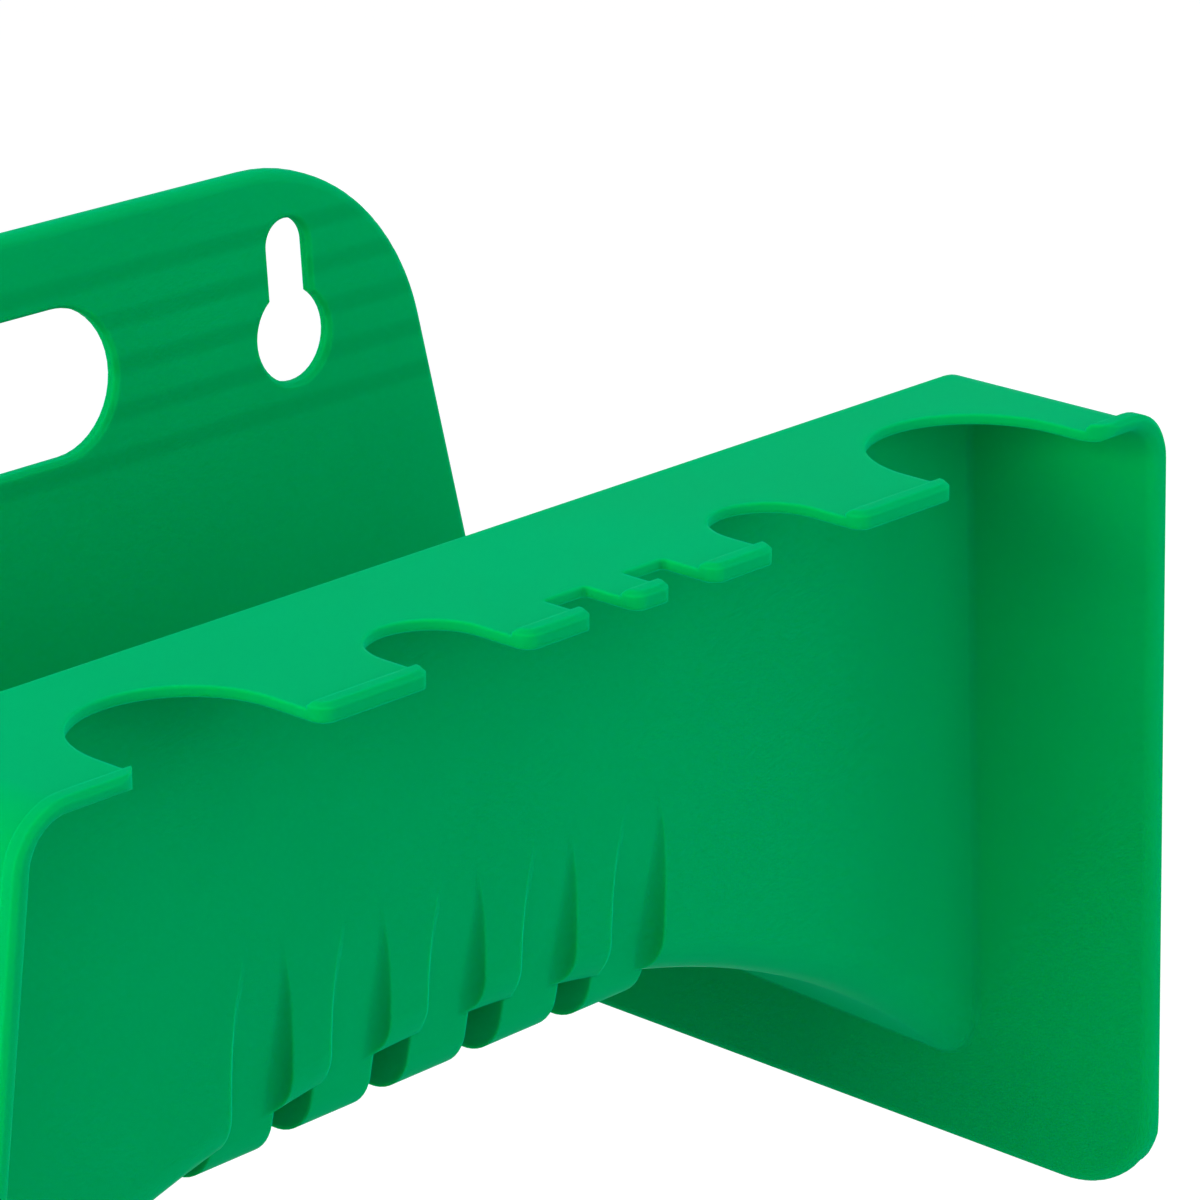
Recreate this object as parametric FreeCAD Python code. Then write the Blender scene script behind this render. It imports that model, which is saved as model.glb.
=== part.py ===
"""Wall hanger for a garden hose: one moulded shell.

The wall is the plane Y = 0, the front looks along -Y, Z is up, and the origin lies on the wall midway
between the round holes of the two keyholes. All sizes are in millimetres.
"""
import os

import FreeCAD
import Part

# Shell
wall = 1.65               # ledge, web, saddle and channels
end_wall = 2.2
plate_wall = 2.2          # sheet of the wall plate
draft = 0.035             # lean of the web, per millimetre of height
rim_draft = 0.042         # lean of the front rim
flare = 0.095             # outward slope of the ends

# Levels
ledge_top = 10.0
foot = -137.0
plate_top = 30.0

# Front rim: ledge and ends
web_top_y = -123.0        # back of the web at the ledge
ledge_depth = 40.2
half_top = 120.8          # outer half width at the ledge
corner_r = 8.6
foot_r = 20.0
bead_depth = 3.4
bead_proud = 1.2
bead_edge = 0.7
rim_inner_r = 2.0

# Saddle and the front edge it turns on
arch_r = 203.0            # underside
arch_drop = 82.6          # from the ledge down to the crown
turn_r = 8.5
back_edge_r = 1.5         # edge of ledge, web and saddle toward the hose
inner_corner_r = 1.2      # web and saddle into the ends, in front and below

# Channels across the middle of the saddle
channel_count = 5
channel_pitch = 20.7
channel_width = 12.6
channel_arch_r = 725.0    # their floors step along this arch
channel_drop = 9.7        # from the saddle's crown down to the arch's crown
recess_drop = 57.5        # from the ledge down to where the channels start to set back
recess_depth = 3.9        # set back at the level of the saddle's crown
recess_top_r = 60.0
recess_side_r = 2.5

# Tool notches in the ledge: a wide round one near each end, then a small round and a square one each side
left_x = 83.4
left_half = 16.2
left_depth = 26.7
right_x = 86.2
right_half = 18.1
right_depth = 28.0
small_x = 36.4
small_half = 9.6
small_depth = 19.5
square_x = 8.4
square_half = 4.5
square_depth = 10.6
square_end_r = 0.8
end_lip_r = 5.0           # corners of the lips at the ends
lip_r = 2.4               # corners of the lips between round notches
square_lip_r = 2.2

# Wall plate
plate_y = -5.35           # front face at the level of the round holes
plate_lean = 0.078
plate_shoulder = 11.15    # in from the line of the ends, at the level of the round holes
plate_corner_r = 40.0
plate_edge_r = 2.0
plate_land = 8.0          # height of the strip at the top that lies flat on the wall
hole_edge = 0.7

# Keyholes and hand hole
key_x = 79.8
key_round_r = 8.35
key_slot_r = 4.75
key_rise = 16.0           # from the round hole up to the screw seat
hand_half = 38.2
hand_r = 12.8
hand_z = 3.1

FAR = 400.0               # reach of the shapes that only cut or limit others
PAST = 5.0                # how far such a shape runs past the face it ends on
TOUCH = 0.1               # how near a point counts as lying on a face
ROUNDS = 20               # of closing in on a level

arch_crown = ledge_top - arch_drop
channel_crown = arch_crown - channel_drop
recess_top = ledge_top - recess_drop
crown_y = web_top_y + draft * arch_drop
to_wall = FreeCAD.Vector(0.0, 1.0, 0.0)
saddle_axis = FreeCAD.Vector(0.0, crown_y, arch_crown - arch_r)
square_to_web = FreeCAD.Vector(0.0, 1.0, draft).normalize()


def front_y(z):
    """Front plane of the rim; like the web it recedes going down."""
    return web_top_y - ledge_depth + rim_draft * (ledge_top - z)


def web_back_y(z):
    return web_top_y + draft * (ledge_top - z)


def web_front_y(z):
    return web_back_y(z) - wall


def plate_front_y(z):
    return plate_y + plate_lean * z


def half_width(z):
    return half_top + flare * (ledge_top - z)


def face(points):
    return Part.Face(Part.makePolygon(points + points[:1]))


def along_x(profile, half):
    """Solid from a (y, z) outline, running from -half to half along X."""
    flat = face([FreeCAD.Vector(-half, y, z) for y, z in profile])
    return flat.extrude(FreeCAD.Vector(2.0 * half, 0.0, 0.0))


def along_y(profile, y0, y1):
    """Solid from an (x, z) outline, running from y0 to y1."""
    flat = face([FreeCAD.Vector(x, y0, z) for x, z in profile])
    return flat.extrude(FreeCAD.Vector(0.0, y1 - y0, 0.0))


def saddle_bar(radius):
    """Long cylinder on the axis of the saddle."""
    return Part.makeCylinder(radius, 2.0 * FAR, saddle_axis - square_to_web * FAR, square_to_web)


def near(edge, test):
    """True where the test holds at both ends and the middle of an edge."""
    first, last = edge.ParameterRange
    spots = [edge.valueAt(first), edge.valueAt(0.5 * (first + last)), edge.valueAt(last)]
    return all(test(p) for p in spots)


def fillet(solid, radius, test):
    return solid.makeFillet(radius, [e for e in solid.Edges if near(e, test)])


def chamfer(solid, size, test):
    return solid.makeChamfer(size, [e for e in solid.Edges if near(e, test)])


def at(value, target):
    return abs(value - target) < TOUCH


def ring_outline(rise, spread):
    """Front outline with rounded upper corners, moved out at the ledge by rise, at the ends by spread."""
    top = ledge_top + rise
    high = half_width(top) + spread
    low = half_width(foot - FAR) + spread
    block = along_y([(-low, foot - FAR), (-high, top), (high, top), (low, foot - FAR)], -FAR, 0.0)
    return fillet(block, corner_r + spread, lambda p: at(p.z, top) and at(abs(p.x), high))


def side_block():
    """Ledge and ends seen from the side, back to the wall plate, with the rounded front foot."""
    top = ledge_top + PAST
    profile = [
        (front_y(top), top),
        (plate_front_y(top), top),
        (plate_front_y(foot), foot),
        (front_y(foot), foot),
    ]
    block = along_x(profile, FAR)
    return fillet(block, foot_r, lambda p: at(p.z, foot) and at(p.y, front_y(foot)))


def front_band():
    """Slab of the bead's depth behind the front plane, as wide and high as the bead."""
    top = ledge_top + PAST
    low = foot - PAST
    profile = [
        (front_y(top), top),
        (front_y(top) + bead_depth, top),
        (front_y(low) + bead_depth, low),
        (front_y(low), low),
    ]
    return ring_outline(bead_proud, bead_proud).common(along_x(profile, FAR))


def on_bar(p, radius):
    return at(p.distanceToLine(saddle_axis, square_to_web), radius)


def trough(y_of, radius, turn):
    """Space behind a face of the web and above a face of the saddle, with its lower front edge rounded."""
    top = plate_top + PAST
    low = saddle_axis.z
    profile = [
        (y_of(top), top),
        (plate_front_y(top) + PAST, top),
        (plate_front_y(low) + PAST, low),
        (y_of(low), low),
    ]
    block = along_x(profile, half_width(foot) + PAST).cut(saddle_bar(radius))
    return fillet(block, turn, lambda p: at(p.y, y_of(p.z)) and on_bar(p, radius))


def on_ring(p):
    """True on the outer face of ledge or end, away from the rounded corners."""
    return at(p.z, ledge_top) or at(abs(p.x), half_width(p.z))


def on_inside(p):
    """True on the inner face of an end."""
    return at(abs(p.x), half_width(p.z) - end_wall)


def recess_y(z):
    """Face of a channel's front: flush with the web at the top of the recess, set back below."""
    return web_front_y(z) + recess_depth * (recess_top - z) / (recess_top - arch_crown)


def channels(inset):
    """Channels with floors that rise as the saddle does; with an inset of the wall, the grooves in them."""
    top = arch_crown + PAST
    back = plate_front_y(top) + PAST
    solids = []
    for x in channel_places:
        sag = channel_arch_r - (channel_arch_r ** 2 - x ** 2) ** 0.5
        floor = channel_crown - sag + inset
        front = recess_y(floor) + inset
        profile = [
            (recess_y(top) + inset, top),
            (back, top),
            (back, floor + draft * (back - front)),
            (front, floor),
        ]
        solid = along_x(profile, 0.5 * channel_width - inset)
        solid = fillet(solid, turn_r - inset, lambda p: at(p.y, front) and at(p.z, floor))
        solids.append(solid.translated(FreeCAD.Vector(x, 0.0, 0.0)))
    return solids


def recess(y_of, offset, half):
    """Space before a face of the web that bends back to the set-back face of a channel, at the middle."""
    top = ledge_top
    profile = [
        (y_of(top), top),
        (y_of(recess_top), recess_top),
        (recess_y(foot) + offset, foot),
        (-FAR, foot),
        (-FAR, top),
    ]
    return along_x(profile, half)


def front_recess():
    """Recess in the front of the web, with its top edge and its sides blended in."""
    solid = recess(web_front_y, 0.0, 0.5 * channel_width)
    bend = web_front_y(recess_top)
    solid = fillet(solid, recess_top_r, lambda p: at(p.z, recess_top) and at(p.y, bend))
    return fillet(solid, recess_side_r, lambda p: p.y > -0.5 * FAR and at(abs(p.x), 0.5 * channel_width))


def notch(centre, half, depth, end_r, lip_radii):
    """Notch through the ledge, open to the front, with rounded inner corners and lips left and right."""
    lip = front_y(ledge_top)
    ahead = lip - PAST
    low = ledge_top - PAST
    tall = 2.0 * PAST
    straight = depth - end_r
    cutter = Part.makeBox(2.0 * half, straight + PAST, tall, FreeCAD.Vector(centre - half, ahead, low))
    for side, corner in zip((-1.0, 1.0), lip_radii):
        inner = FreeCAD.Vector(centre + side * (half - end_r), lip + straight, low)
        cutter = cutter.fuse(Part.makeCylinder(end_r, tall, inner))
        edge = centre + side * half
        start = FreeCAD.Vector(min(edge, edge + side * corner), ahead, low)
        flank = Part.makeBox(corner, corner + PAST, tall, start)
        post = Part.makeCylinder(corner, tall, FreeCAD.Vector(edge + side * corner, lip + corner, low))
        cutter = cutter.fuse(flank.cut(post))
    if half > end_r:
        start = FreeCAD.Vector(centre - half + end_r, lip, low)
        cutter = cutter.fuse(Part.makeBox(2.0 * (half - end_r), depth, tall, start))
    return cutter


def saddle_end_level():
    """Level at which the top of the saddle meets the outside of the ends, at the wall plate."""
    z = arch_crown
    for _ in range(ROUNDS):
        rise = draft * (plate_front_y(z) - saddle_axis.y)
        z = saddle_axis.z + rise + ((arch_r + wall) ** 2 - half_width(z) ** 2) ** 0.5 / square_to_web.y
    return z


def plate_block(inset, top):
    """Wall plate as a full block from its sheet back to the wall, or the hollow inside its rim."""
    low = half_width(foot) - inset
    bend = half_width(saddle_end) - inset
    rise = (half_width(saddle_end) - half_width(0.0) + plate_shoulder) / -saddle_end
    high = bend - rise * (top - saddle_end)
    right = [(high, top), (bend, saddle_end), (low, foot + inset)]
    left = [(-x, z) for x, z in reversed(right)]
    block = along_y(right + left, -FAR, inset)
    block = fillet(block, plate_corner_r - inset, lambda p: at(p.z, top) and at(abs(p.x), high))
    sheet = [
        (plate_front_y(FAR) + inset, FAR),
        (FAR, FAR),
        (FAR, -FAR),
        (plate_front_y(-FAR) + inset, -FAR),
    ]
    return block.common(along_x(sheet, FAR))


def through_plate(radius, x, z):
    return Part.makeCylinder(radius, 2.0 * FAR, FreeCAD.Vector(x, -FAR, z), to_wall)


def keyhole(x):
    """Screw keyhole: the round at Z = 0 lets the screw head in, the slot above it ends in the seat."""
    start = FreeCAD.Vector(x - key_slot_r, -FAR, 0.0)
    slot = Part.makeBox(2.0 * key_slot_r, 2.0 * FAR, key_rise, start)
    ends = [through_plate(key_round_r, x, 0.0), through_plate(key_slot_r, x, key_rise)]
    return slot.fuse(ends).removeSplitter()


def hand_hole():
    reach = hand_half - hand_r
    start = FreeCAD.Vector(-reach, -FAR, hand_z - hand_r)
    middle = Part.makeBox(2.0 * reach, 2.0 * FAR, 2.0 * hand_r, start)
    return middle.fuse([through_plate(hand_r, x, hand_z) for x in (-reach, reach)]).removeSplitter()


def in_hole(p):
    return abs(p.x) < key_x + key_round_r + TOUCH and abs(p.z) < key_rise + key_slot_r + TOUCH


channel_places = [channel_pitch * (i - 0.5 * (channel_count - 1)) for i in range(channel_count)]
saddle_end = saddle_end_level()

# Front shell, saddle and end skirts
outer = ring_outline(0.0, 0.0).common(side_block())

# Bead along the front: its edges are broken at the ends here, and along the lips once these are cut
lip_reach = min(left_x, right_x)
band = front_band()
bead = chamfer(band, bead_edge, lambda p: at(p.y, front_y(p.z)))
bead = chamfer(bead, bead_edge, lambda p: at(p.y, front_y(p.z) + bead_depth))
middle = along_y([(-lip_reach, -FAR), (lip_reach, -FAR), (lip_reach, FAR), (-lip_reach, FAR)], -FAR, 0.0)
bead = bead.fuse(band.common(middle)).common(side_block())

hose_space = trough(web_back_y, arch_r + wall, turn_r - wall)
back_wedge = recess(web_back_y, wall, 0.5 * channel_width + wall)
for x in channel_places:
    hose_space = hose_space.cut(back_wedge.translated(FreeCAD.Vector(x, 0.0, 0.0)))
hose_space = hose_space.fuse(channels(wall))

inside_profile = [
    (-FAR, FAR),
    (plate_front_y(FAR) + PAST, FAR),
    (plate_front_y(-FAR) + PAST, -FAR),
    (-FAR, -FAR),
]
inside = ring_outline(-wall, -end_wall).common(along_x(inside_profile, FAR))
under = inside.cut(trough(web_front_y, arch_r, turn_r))
under = fillet(under, inner_corner_r, lambda p: on_inside(p) and at(p.y, web_front_y(p.z)))
front_wedge = front_recess().common(inside)
for x in channel_places:
    under = under.fuse(front_wedge.translated(FreeCAD.Vector(x, 0.0, 0.0)))
under = under.cut(channels(0.0))

shell = outer.fuse(bead).cut(under).cut(hose_space)
shell = fillet(shell, back_edge_r, lambda p: on_ring(p) and at(p.y, web_back_y(p.z)))
shell = fillet(shell, rim_inner_r, lambda p: on_inside(p) and at(p.y, front_y(p.z)))

# Lips between the two wide notches keep a square lower edge
lip_bar = [
    (front_y(ledge_top), ledge_top),
    (front_y(ledge_top) + square_depth, ledge_top),
    (front_y(ledge_top) + square_depth, ledge_top - wall),
    (front_y(ledge_top - wall), ledge_top - wall),
]
shell = shell.fuse(along_x(lip_bar, lip_reach))

# Wall plate: a shallow pan with its rim turned back to the wall
pan = plate_block(0.0, plate_top)
pan = fillet(pan, plate_edge_r, lambda p: p.z > saddle_end - TOUCH and at(p.y, plate_front_y(p.z)))
pan = pan.cut(plate_block(plate_wall, plate_top - plate_land))
for side in (-1.0, 1.0):
    pan = pan.cut(keyhole(side * key_x))
pan = pan.cut(hand_hole())
pan = chamfer(pan, hole_edge, lambda p: in_hole(p) and at(p.y, plate_front_y(p.z)))

hanger = shell.fuse(pan).removeSplitter()

# Tool notches in the ledge
hanger = hanger.cut(notch(-left_x, left_half, left_depth, left_half, (end_lip_r, lip_r)))
hanger = hanger.cut(notch(right_x, right_half, right_depth, right_half, (lip_r, end_lip_r)))
for side in (-1.0, 1.0):
    hanger = hanger.cut(notch(side * small_x, small_half, small_depth, small_half, (lip_r, lip_r)))
    square_lips = (square_lip_r, square_lip_r)
    hanger = hanger.cut(notch(side * square_x, square_half, square_depth, square_end_r, square_lips))
bead_top = ledge_top + bead_proud
hanger = chamfer(hanger, bead_edge, lambda p: at(p.z, bead_top) and abs(p.x) < lip_reach)

os.makedirs("parts", exist_ok=True)
hanger.exportStep("parts/hose_hanger.step")
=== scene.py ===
"""Looks of the hose hanger: one green moulded shell, high above a white studio ground."""
import math

import bpy
from mathutils import Matrix, Vector


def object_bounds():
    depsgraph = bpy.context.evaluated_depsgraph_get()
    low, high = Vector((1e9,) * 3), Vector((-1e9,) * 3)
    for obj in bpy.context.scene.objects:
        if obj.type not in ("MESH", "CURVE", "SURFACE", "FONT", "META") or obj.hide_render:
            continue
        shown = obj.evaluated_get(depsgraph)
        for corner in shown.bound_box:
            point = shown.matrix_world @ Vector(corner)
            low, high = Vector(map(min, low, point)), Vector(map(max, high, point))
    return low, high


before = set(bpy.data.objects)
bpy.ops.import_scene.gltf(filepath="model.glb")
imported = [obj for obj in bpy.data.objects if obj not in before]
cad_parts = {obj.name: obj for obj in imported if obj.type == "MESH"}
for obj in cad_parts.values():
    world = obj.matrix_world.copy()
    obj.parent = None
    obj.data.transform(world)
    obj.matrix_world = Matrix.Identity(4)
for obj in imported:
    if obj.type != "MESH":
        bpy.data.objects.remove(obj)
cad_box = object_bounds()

MM = 0.001
WHITE = "#FFFFFF"

# Camera: a long lens, left of the hanger's front and a little above it
VIEW_TURN = math.radians(47.085)
VIEW_DOWN = math.radians(19.297)
VIEW_DISTANCE = 837.0 * MM
VIEW_AIM = Vector((31.25, -123.0, -8.28)) * MM
VIEW_END = 100.0
LENS = 162.5
SENSOR = 36.0

# Ground well below a thing that hangs on a wall
GROUND_DROP = 400.0 * MM
GROUND_SIZE = 12.0
GROUND_GLOW = 0.74

# Even light of the room, and lamps in metres and watts
ROOM_LEVEL = 0.7
SOFTBOX_SIZE = 1.2
SOFTBOX_AIM = Vector((0.0, -0.08, -0.05))
LEFT_PLACE, LEFT_POWER = Vector((-2.2, -0.2, 0.6)), 40.0
FRONT_PLACE, FRONT_POWER = Vector((0.0, -2.2, 0.6)), 9.0
FRONT_RIGHT_PLACE, FRONT_RIGHT_POWER = Vector((1.5, -1.6, 0.9)), 6.0

# Plastic: sizes of what the mould leaves in it
FLOW_SIZE = 40.0 * MM
GRAIN_SIZE = 0.5 * MM        # coarser than the real grain, so that it shows
GRAIN_DEPTH = 0.05 * MM
EDGE_ROUNDING = 0.9 * MM
LIGHT_DEPTH = 2.5 * MM       # how far green light travels inside

# Five faint sink marks on the front of the wall plate, level with the floor: painted shade, darker bands in
# the colour with no dips in the shape
PLATE_FRONT_Y = -20.0 * MM
FACING_FRONT = -0.5
SINK_LEVEL = 3.45 * MM
SINK_SPACING = 7.9 * MM
SINK_REACH = 19.7 * MM


def linear(hex_colour):
    """Linear RGBA of an sRGB hex colour."""
    parts = [int(hex_colour[i:i + 2], 16) / 255.0 for i in (1, 3, 5)]
    return [c / 12.92 if c <= 0.04045 else ((c + 0.055) / 1.055) ** 2.4 for c in parts] + [1.0]


def node(material, kind, settings=None, links=None):
    """Adds one node: settings are attributes or input values, links are input -> output socket."""
    made = material.node_tree.nodes.new(kind)
    for name, value in (settings or {}).items():
        if isinstance(name, str) and hasattr(made, name):
            setattr(made, name, value)
        else:
            made.inputs[name].default_value = value
    for name, source in (links or {}).items():
        material.node_tree.links.new(source, made.inputs[name])
    return made


def empty_material(name):
    material = bpy.data.materials.new(name)
    material.use_nodes = True
    material.node_tree.nodes.clear()
    return material


def sink_mark_shade(material, place):
    """Painted shade of the sink marks: 1 along the middle of each sink mark, fading to 0 between them and
    off the plate's front.
    """
    where = node(material, "ShaderNodeSeparateXYZ", links={0: place.outputs["Object"]})
    facing = node(material, "ShaderNodeSeparateXYZ", links={0: place.outputs["Normal"]})
    level = node(
        material, "ShaderNodeMath", {"operation": "SUBTRACT", 1: SINK_LEVEL}, {0: where.outputs["Z"]}
    )
    turns = node(
        material,
        "ShaderNodeMath",
        {"operation": "MULTIPLY", 1: math.tau / SINK_SPACING},
        {0: level.outputs[0]},
    )
    wave = node(material, "ShaderNodeMath", {"operation": "COSINE"}, {0: turns.outputs[0]})
    shade_band = node(
        material,
        "ShaderNodeMapRange",
        {"interpolation_type": "SMOOTHSTEP", "From Min": -0.3, "From Max": 1.0},
        {"Value": wave.outputs[0]},
    )
    away = node(material, "ShaderNodeMath", {"operation": "ABSOLUTE"}, {0: level.outputs[0]})
    near_level = node(
        material, "ShaderNodeMath", {"operation": "LESS_THAN", 1: SINK_REACH}, {0: away.outputs[0]}
    )
    on_plate = node(
        material, "ShaderNodeMath", {"operation": "GREATER_THAN", 1: PLATE_FRONT_Y}, {0: where.outputs["Y"]}
    )
    in_front = node(
        material, "ShaderNodeMath", {"operation": "LESS_THAN", 1: FACING_FRONT}, {0: facing.outputs["Y"]}
    )
    marks = shade_band.outputs["Result"]
    for limit in (near_level, on_plate, in_front):
        kept = node(material, "ShaderNodeMath", {"operation": "MULTIPLY"}, {0: marks, 1: limit.outputs[0]})
        marks = kept.outputs[0]
    return marks


def satin_green_polypropylene():
    """Polypropylene from a finely sparked steel mould.

    The eye sees one deep green with a satin sheen and hardly any gloss. A little light passes through thin
    walls and edges. The mould has rounded the edges and left a fine grain, and the melt has left faint flow
    marks. The faint level sink marks on the wide plate are painted shade, darker bands in the colour, not
    dips.
    """
    material = empty_material("satin_green_polypropylene")
    place = node(material, "ShaderNodeTexCoord")
    flow = node(
        material,
        "ShaderNodeTexNoise",
        {"Scale": 1.0 / FLOW_SIZE, "Detail": 3.0, "Roughness": 0.5},
        {"Vector": place.outputs["Object"]},
    )
    pigment = node(
        material,
        "ShaderNodeMix",
        {"data_type": "RGBA", 6: linear("#00A95D"), 7: linear("#00B163")},
        {0: flow.outputs["Fac"]},
    )
    # Painted shade: the sink marks darken the pigment towards #00A459 in bands on the plate's front,
    # standing in for the shade of their shallow dips
    colour = node(
        material,
        "ShaderNodeMix",
        {"data_type": "RGBA", 7: linear("#00A459")},
        {0: sink_mark_shade(material, place), 6: pigment.outputs[2]},
    )
    satin = node(
        material,
        "ShaderNodeMapRange",
        {"From Min": 0.3, "From Max": 0.7, "To Min": 0.36, "To Max": 0.44},
        {"Value": flow.outputs["Fac"]},
    )
    grain = node(
        material,
        "ShaderNodeTexNoise",
        {"Scale": 1.0 / GRAIN_SIZE, "Detail": 2.0},
        {"Vector": place.outputs["Object"]},
    )
    rounded = node(material, "ShaderNodeBevel", {"samples": 8, "Radius": EDGE_ROUNDING})
    grained = node(
        material,
        "ShaderNodeBump",
        {"Strength": 0.15, "Distance": GRAIN_DEPTH},
        {"Height": grain.outputs["Fac"], "Normal": rounded.outputs["Normal"]},
    )
    shader = node(
        material,
        "ShaderNodeBsdfPrincipled",
        {
            "IOR": 1.49,
            "Specular IOR Level": 0.001,
            "Specular Tint": linear("#00FFFF"),
            "Subsurface Weight": 1.0,
            "Subsurface Radius": (0.15, 1.0, 0.4),
            "Subsurface Scale": LIGHT_DEPTH,
            "Sheen Weight": 0.1,
            "Sheen Roughness": 0.5,
            "Sheen Tint": linear("#00FFE6"),
        },
        {
            "Base Color": colour.outputs[2],
            "Roughness": satin.outputs["Result"],
            "Normal": grained.outputs["Normal"],
        },
    )
    node(material, "ShaderNodeOutputMaterial", links={"Surface": shader.outputs["BSDF"]})
    return material


def seen_plainly(material):
    """Value of 1 for what the camera sees directly, in gloss or through a clear thing."""
    path = node(material, "ShaderNodeLightPath")
    gloss = node(
        material,
        "ShaderNodeMath",
        {"operation": "ADD", "use_clamp": True},
        {0: path.outputs["Is Camera Ray"], 1: path.outputs["Is Glossy Ray"]},
    )
    clear = node(
        material,
        "ShaderNodeMath",
        {"operation": "ADD", "use_clamp": True},
        {0: gloss.outputs[0], 1: path.outputs["Is Transmission Ray"]},
    )
    return clear.outputs[0]


def white_paper():
    """Seamless white paper: white to the eye, with the object's shadow on it, and a soft bounce of light."""
    material = empty_material("white_paper")
    paper = node(material, "ShaderNodeBsdfDiffuse", {"Color": linear("#B0B0B0")})
    glow = node(material, "ShaderNodeEmission", {"Color": linear(WHITE), "Strength": GROUND_GLOW})
    lit = node(material, "ShaderNodeAddShader", links={0: paper.outputs[0], 1: glow.outputs[0]})
    mixed = node(
        material,
        "ShaderNodeMixShader",
        links={0: seen_plainly(material), 1: paper.outputs[0], 2: lit.outputs[0]},
    )
    node(material, "ShaderNodeOutputMaterial", links={"Surface": mixed.outputs[0]})
    return material


def white_room():
    """White room: cool, even light on the object, plain white to the eye."""
    world = bpy.data.worlds.new("studio")
    bpy.context.scene.world = world
    world.use_nodes = True
    world.node_tree.nodes.clear()
    fill = node(world, "ShaderNodeBackground", {"Color": linear("#E4EEFF"), "Strength": ROOM_LEVEL})
    seen = node(world, "ShaderNodeBackground", {"Color": linear(WHITE), "Strength": 1.0})
    mixed = node(
        world,
        "ShaderNodeMixShader",
        links={0: seen_plainly(world), 1: fill.outputs[0], 2: seen.outputs[0]},
    )
    node(world, "ShaderNodeOutputWorld", links={"Surface": mixed.outputs[0]})


def softbox(name, place, power, colour):
    light = bpy.data.lights.new(name, "AREA")
    light.shape = "SQUARE"
    light.size = SOFTBOX_SIZE
    light.energy = power
    light.color = linear(colour)[:3]
    lamp = bpy.data.objects.new(name, light)
    bpy.context.collection.objects.link(lamp)
    lamp.location = place
    lamp.rotation_euler = (SOFTBOX_AIM - place).to_track_quat("-Z", "Y").to_euler()


def photo_camera():
    camera_data = bpy.data.cameras.new("photo_camera")
    camera_data.lens = LENS
    camera_data.sensor_width = SENSOR
    camera_data.clip_end = VIEW_END
    camera = bpy.data.objects.new("photo_camera", camera_data)
    bpy.context.collection.objects.link(camera)
    forward = Vector((
        math.sin(VIEW_TURN) * math.cos(VIEW_DOWN),
        math.cos(VIEW_TURN) * math.cos(VIEW_DOWN),
        -math.sin(VIEW_DOWN),
    ))
    right = Vector((math.cos(VIEW_TURN), -math.sin(VIEW_TURN), 0.0))
    up = right.cross(forward)
    turn = Matrix((right, up, -forward)).transposed()
    camera.matrix_world = Matrix.Translation(VIEW_AIM - forward * VIEW_DISTANCE) @ turn.to_4x4()
    bpy.context.scene.camera = camera


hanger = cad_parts["hose_hanger"]
plastic = satin_green_polypropylene()
for slot in hanger.material_slots:
    slot.material = plastic

bpy.ops.object.select_all(action="DESELECT")
bpy.ops.mesh.primitive_plane_add(size=GROUND_SIZE, location=(0.0, 0.0, cad_box[0].z - GROUND_DROP))
ground = bpy.context.object
ground.name = "ground"
ground.data.materials.append(white_paper())

white_room()
softbox("left_softbox", LEFT_PLACE, LEFT_POWER, "#FFF4BC")
softbox("front_softbox", FRONT_PLACE, FRONT_POWER, WHITE)
softbox("front_right_softbox", FRONT_RIGHT_PLACE, FRONT_RIGHT_POWER, WHITE)
photo_camera()
bpy.context.scene.view_settings.view_transform = "Standard"
